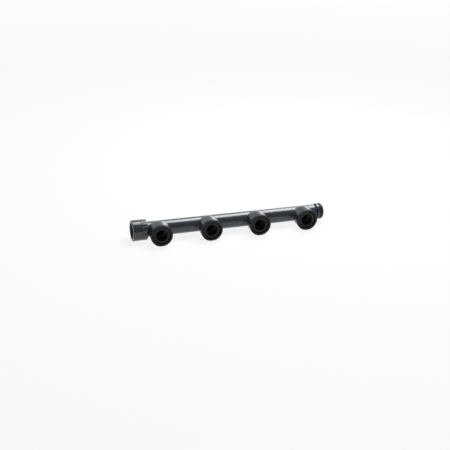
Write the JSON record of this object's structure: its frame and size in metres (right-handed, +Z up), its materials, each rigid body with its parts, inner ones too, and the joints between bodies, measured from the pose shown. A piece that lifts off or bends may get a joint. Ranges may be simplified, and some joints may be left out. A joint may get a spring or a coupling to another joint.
{
  "type": "rack coolant manifold",
  "caption": "Straight dark plastic coolant manifold: a header tube with a row of flared push-in tube ports on one side, a female threaded inlet and a male threaded outlet.",
  "frame": {"origin": "centre of the inlet's mouth, on the header's axis", "axes": "+X along the header from the inlet to the outlet; the ports face -Y; +Z is up"},
  "size_m": [0.4057, 0.0608, 0.043],
  "materials": {
    "tube_plastic": "extruded, glossy, dark slate grey",
    "moulded_plastic": "moulded, glossy, dark slate grey",
    "bush_plastic": "moulded, satin, darker grey",
    "seal_rubber": "matt black"
  },
  "bodies": {
    "root": {"header_tube": "tube_plastic", "port_hub_1": "moulded_plastic", "port_hub_2": "moulded_plastic", "port_hub_3": "moulded_plastic", "port_hub_4": "moulded_plastic", "port_bush_1": "bush_plastic", "port_bush_2": "bush_plastic", "port_bush_3": "bush_plastic", "port_bush_4": "bush_plastic", "port_seal_1": "seal_rubber", "port_seal_2": "seal_rubber", "port_seal_3": "seal_rubber", "port_seal_4": "seal_rubber", "inlet_socket": "moulded_plastic", "inlet_seal": "seal_rubber", "outlet_end": "moulded_plastic"}
  },
  "joints": []
}
